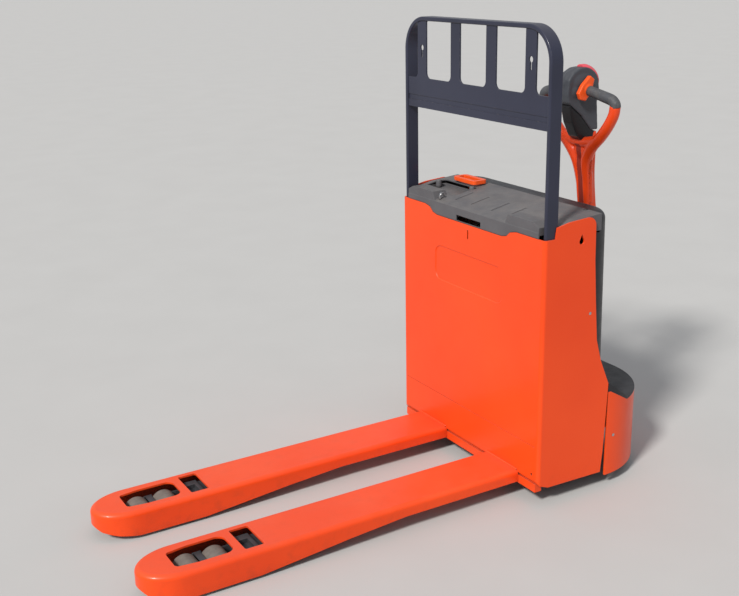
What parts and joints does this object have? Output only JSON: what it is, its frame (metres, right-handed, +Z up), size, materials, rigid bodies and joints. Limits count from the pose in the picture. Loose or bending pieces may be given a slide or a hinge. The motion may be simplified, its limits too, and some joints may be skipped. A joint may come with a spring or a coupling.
{
  "type": "electric pallet truck",
  "caption": "Walk-behind electric pallet truck: two low forks with tandem rollers, sheet-metal battery box with load guard, moulded hood, and a long tiller with a hooped control head.",
  "frame": {"origin": "on the floor, at the middle of the whole truck's length and width", "axes": "+X points from the forks to the tiller, +Y to the right of the operator who stands at the tiller and faces the forks, +Z up"},
  "size_m": [1.676, 0.72, 1.385],
  "materials": {
    "orange_paint": "gloss powder coat over rolled sheet, a little orange peel",
    "orange_casting": "smooth moulded skin",
    "guard_paint": "dark blue-black satin powder coat",
    "frame_paint": "dark grey satin paint",
    "lid_plastic": "fine grained moulding",
    "hood_plastic": "fine grained moulding",
    "pod_plastic": "fine grained moulding",
    "grip_rubber": "soft matte grip",
    "switch_orange": "smooth moulding",
    "button_red": "smooth moulding",
    "button_black": "smooth moulding",
    "steel": "turned and zinc plated",
    "forged_steel": "dark painted forging",
    "cast_iron": "sand cast",
    "roller_tyre": "polyurethane tread",
    "wheel_tyre": "solid tread",
    "tank_plastic": "plain moulding",
    "motor_body": "black enamel",
    "aluminium": "finned extrusion",
    "contactor": "plain moulding",
    "lead": "dull lead"
  },
  "bodies": {
    "chassis": {"chassis_frame": "frame_paint", "drive_skirt": "orange_paint", "skirt_screws": "steel", "skirt_trim": "hood_plastic", "hood": "hood_plastic", "lift_cylinder": "forged_steel", "hydraulic_tank": "tank_plastic", "pump_motor": "motor_body", "motor_controller": "aluminium", "main_contactor": "contactor", "guide_rails": "frame_paint"},
    "lift_frame": {"body_shell": "orange_paint", "battery_floor": "frame_paint", "rear_wall": "frame_paint", "heel_beam": "orange_paint", "fork_left": "orange_paint", "fork_right": "orange_paint", "shaft_bearings": "frame_paint", "load_arm_pins": "steel", "piston_rod": "steel", "guide_shoes": "steel", "battery_case": "frame_paint", "battery_cells": "tank_plastic", "battery_bridges": "lead", "screw_heads": "steel", "guard_frame": "guard_paint", "guard_plate": "guard_paint", "lid_hinge": "frame_paint"},
    "rocker": {"rocker_shaft": "forged_steel"},
    "drive_head": {"gearbox": "cast_iron", "drive_motor": "motor_body", "motor_cover": "hood_plastic", "tiller_bracket": "frame_paint"},
    "drive_wheel": {"drive_tyre": "wheel_tyre", "drive_hub": "cast_iron"},
    "tiller": {"tiller_arm": "orange_casting", "handle_ring": "orange_casting", "handle_grips": "grip_rubber", "control_pod": "pod_plastic"},
    "accelerator": {"accelerator_rocker": "switch_orange"},
    "belly_button": {"belly_button": "button_red"},
    "horn_button": {"horn_button": "button_black"},
    "lift_button": {"lift_button": "button_black"},
    "lower_button": {"lower_button": "button_black"},
    "lid": {"lid": "lid_plastic"},
    "isolator": {"isolator": "switch_orange"},
    "load_arm_left": {"load_arm_left": "forged_steel"},
    "bogie_left": {"bogie_left": "forged_steel"},
    "push_rod_left": {"push_rod_left": "steel"},
    "load_roller_front_left": {"load_roller_front_left": "roller_tyre"},
    "load_roller_rear_left": {"load_roller_rear_left": "roller_tyre"},
    "caster_swivel_left": {"caster_swivel_left": "forged_steel"},
    "caster_wheel_left": {"caster_wheel_left": "wheel_tyre"},
    "load_arm_right": {"load_arm_right": "forged_steel"},
    "bogie_right": {"bogie_right": "forged_steel"},
    "push_rod_right": {"push_rod_right": "steel"},
    "load_roller_front_right": {"load_roller_front_right": "roller_tyre"},
    "load_roller_rear_right": {"load_roller_rear_right": "roller_tyre"},
    "caster_swivel_right": {"caster_swivel_right": "forged_steel"},
    "caster_wheel_right": {"caster_wheel_right": "wheel_tyre"}
  },
  "joints": [
    {"name": "lift", "type": "slide", "parent": "chassis", "child": "lift_frame", "axis": [0, 0, 1], "range_m": [0, 0.13]},
    {"name": "rocker_turn", "type": "hinge", "parent": "lift_frame", "child": "rocker", "pos_m": [0.387, 0, 0.045], "axis": [0, -1, 0], "range_deg": [0, 41.5]},
    {"name": "steer", "type": "hinge", "parent": "chassis", "child": "drive_head", "pos_m": [0.679, 0, 0.245], "axis": [0, 0, 1], "range_deg": [-90, 90]},
    {"name": "drive_wheel_spin", "type": "hinge", "parent": "drive_head", "child": "drive_wheel", "pos_m": [0.679, 0, 0.115], "axis": [0, 1, 0], "continuous": true},
    {"name": "tiller_tilt", "type": "hinge", "parent": "drive_head", "child": "tiller", "pos_m": [0.773, 0, 0.33], "axis": [0, 1, 0], "range_deg": [0, 75], "stiffness_Nm_per_rad": 40, "springref_deg": -17.19},
    {"name": "accelerator_turn", "type": "hinge", "parent": "tiller", "child": "accelerator", "pos_m": [0.741, 0, 1.162], "axis": [0, 1, 0], "range_deg": [-30, 30], "stiffness_Nm_per_rad": 0.6},
    {"name": "belly_press", "type": "slide", "parent": "tiller", "child": "belly_button", "axis": [-0.7071, 0, -0.7071], "range_m": [0, 0.006], "stiffness_N_per_m": 600},
    {"name": "horn_press", "type": "slide", "parent": "tiller", "child": "horn_button", "axis": [-1, 0, 0], "range_m": [0, 0.003], "stiffness_N_per_m": 600},
    {"name": "lift_press", "type": "slide", "parent": "tiller", "child": "lift_button", "axis": [-1, 0, 0], "range_m": [0, 0.003], "stiffness_N_per_m": 600},
    {"name": "lower_press", "type": "slide", "parent": "tiller", "child": "lower_button", "axis": [-1, 0, 0], "range_m": [0, 0.003], "stiffness_N_per_m": 600},
    {"name": "lid_open", "type": "hinge", "parent": "lift_frame", "child": "lid", "pos_m": [0.535, 0, 0.857], "axis": [0, 1, 0], "range_deg": [0, 60]},
    {"name": "isolator_pull", "type": "slide", "parent": "lid", "child": "isolator", "axis": [0, 0, 1], "range_m": [0, 0.035]},
    {"name": "load_arm_swing_left", "type": "hinge", "parent": "lift_frame", "child": "load_arm_left", "pos_m": [-0.458, 0.1875, 0.045], "axis": [0, -1, 0], "range_deg": [0, 41.5]},
    {"name": "bogie_tilt_left", "type": "hinge", "parent": "load_arm_left", "child": "bogie_left", "pos_m": [-0.658, 0.1875, 0.037], "axis": [0, -1, 0], "range_deg": [-41.5, 0]},
    {"name": "push_rod_slide_left", "type": "slide", "parent": "lift_frame", "child": "push_rod_left", "axis": [-1, 0, 0], "range_m": [0, 0.0165]},
    {"name": "load_roller_front_left_spin", "type": "hinge", "parent": "bogie_left", "child": "load_roller_front_left", "pos_m": [-0.699, 0.1875, 0.037], "axis": [0, 1, 0], "continuous": true},
    {"name": "load_roller_rear_left_spin", "type": "hinge", "parent": "bogie_left", "child": "load_roller_rear_left", "pos_m": [-0.617, 0.1875, 0.037], "axis": [0, 1, 0], "continuous": true},
    {"name": "caster_turn_left", "type": "hinge", "parent": "chassis", "child": "caster_swivel_left", "pos_m": [0.652, 0.235, 0.19], "axis": [0, 0, 1], "continuous": true},
    {"name": "caster_spin_left", "type": "hinge", "parent": "caster_swivel_left", "child": "caster_wheel_left", "pos_m": [0.622, 0.235, 0.0625], "axis": [0, 1, 0], "continuous": true},
    {"name": "load_arm_swing_right", "type": "hinge", "parent": "lift_frame", "child": "load_arm_right", "pos_m": [-0.458, -0.1875, 0.045], "axis": [0, -1, 0], "range_deg": [0, 41.5]},
    {"name": "bogie_tilt_right", "type": "hinge", "parent": "load_arm_right", "child": "bogie_right", "pos_m": [-0.658, -0.1875, 0.037], "axis": [0, -1, 0], "range_deg": [-41.5, 0]},
    {"name": "push_rod_slide_right", "type": "slide", "parent": "lift_frame", "child": "push_rod_right", "axis": [-1, 0, 0], "range_m": [0, 0.0165]},
    {"name": "load_roller_front_right_spin", "type": "hinge", "parent": "bogie_right", "child": "load_roller_front_right", "pos_m": [-0.699, -0.1875, 0.037], "axis": [0, 1, 0], "continuous": true},
    {"name": "load_roller_rear_right_spin", "type": "hinge", "parent": "bogie_right", "child": "load_roller_rear_right", "pos_m": [-0.617, -0.1875, 0.037], "axis": [0, 1, 0], "continuous": true},
    {"name": "caster_turn_right", "type": "hinge", "parent": "chassis", "child": "caster_swivel_right", "pos_m": [0.652, -0.235, 0.19], "axis": [0, 0, 1], "continuous": true},
    {"name": "caster_spin_right", "type": "hinge", "parent": "caster_swivel_right", "child": "caster_wheel_right", "pos_m": [0.622, -0.235, 0.0625], "axis": [0, 1, 0], "continuous": true}
  ],
  "couplings": [
    {"joint": "rocker_turn", "follows": "lift", "rad_per_m": 5.55},
    {"joint": "load_arm_swing_left", "follows": "lift", "rad_per_m": 5.55},
    {"joint": "bogie_tilt_left", "follows": "lift", "rad_per_m": -5.55},
    {"joint": "push_rod_slide_left", "follows": "lift", "ratio": 0.126},
    {"joint": "load_arm_swing_right", "follows": "lift", "rad_per_m": 5.55},
    {"joint": "bogie_tilt_right", "follows": "lift", "rad_per_m": -5.55},
    {"joint": "push_rod_slide_right", "follows": "lift", "ratio": 0.126}
  ]
}
